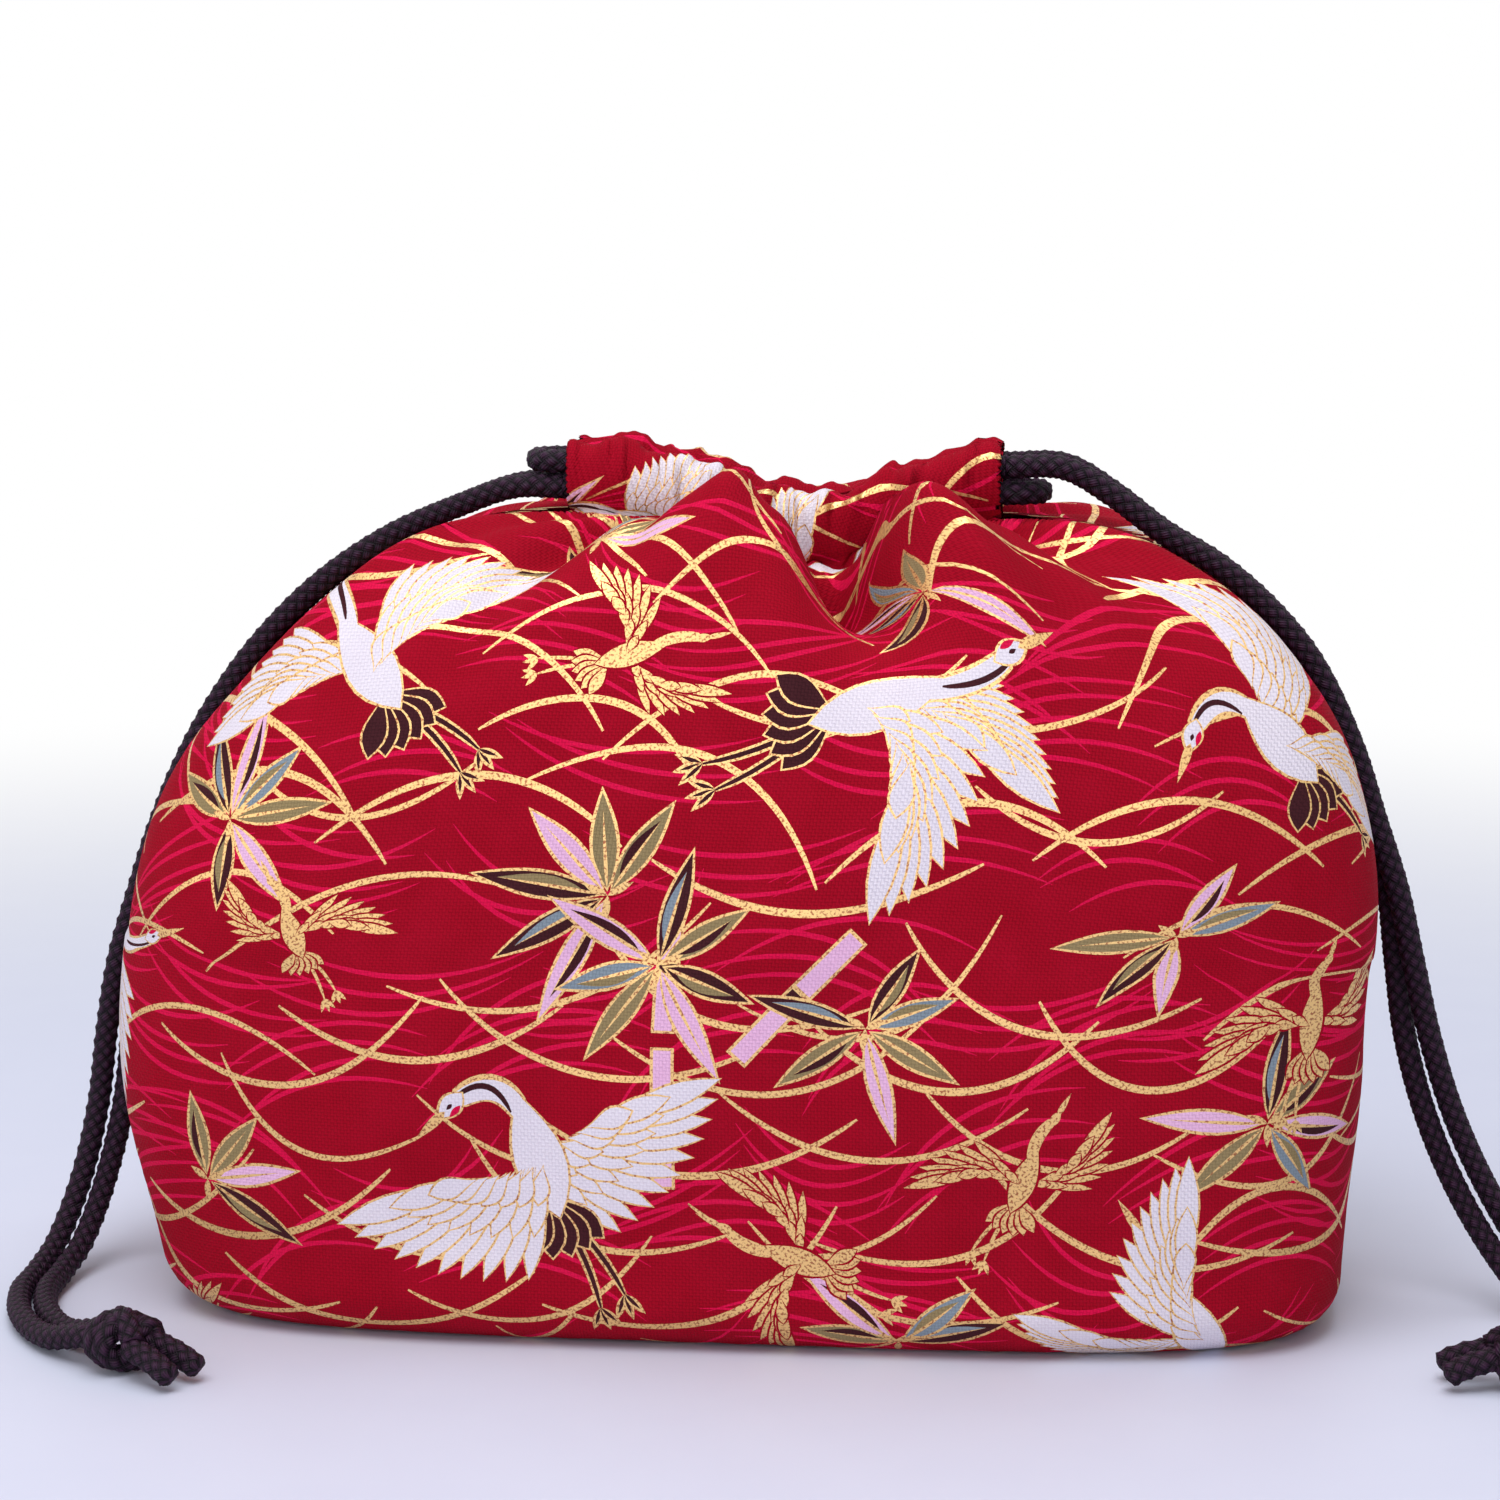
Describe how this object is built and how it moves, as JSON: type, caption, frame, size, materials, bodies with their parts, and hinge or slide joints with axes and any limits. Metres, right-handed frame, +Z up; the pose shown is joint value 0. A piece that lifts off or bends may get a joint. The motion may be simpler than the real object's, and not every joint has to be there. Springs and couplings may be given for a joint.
{
  "type": "drawstring lunch bag",
  "caption": "Printed cotton drawstring lunch bag, filled and standing drawn closed, with two black braided cords threaded from opposite sides and knotted.",
  "frame": {"origin": "on the ground under the middle of the bag, without its free cords", "axes": "+Z up, -Y towards the front sheet, +X along the mouth to the bag's left and the viewer's right"},
  "size_m": [0.3434, 0.1523, 0.188],
  "materials": {
    "cotton": "plain-woven cotton, printed in red with gold foil",
    "braid": "braided polyester cord"
  },
  "bodies": {
    "root": {"front_panel": "cotton", "back_panel": "cotton", "left_cord_loop": "braid", "right_cord_loop": "braid", "left_strand_front": "braid", "left_strand_back": "braid", "right_strand_front": "braid", "right_strand_back": "braid", "left_knot": "braid", "right_knot": "braid", "left_tail_front": "braid", "left_tail_back": "braid", "right_tail_front": "braid", "right_tail_back": "braid"}
  },
  "joints": []
}
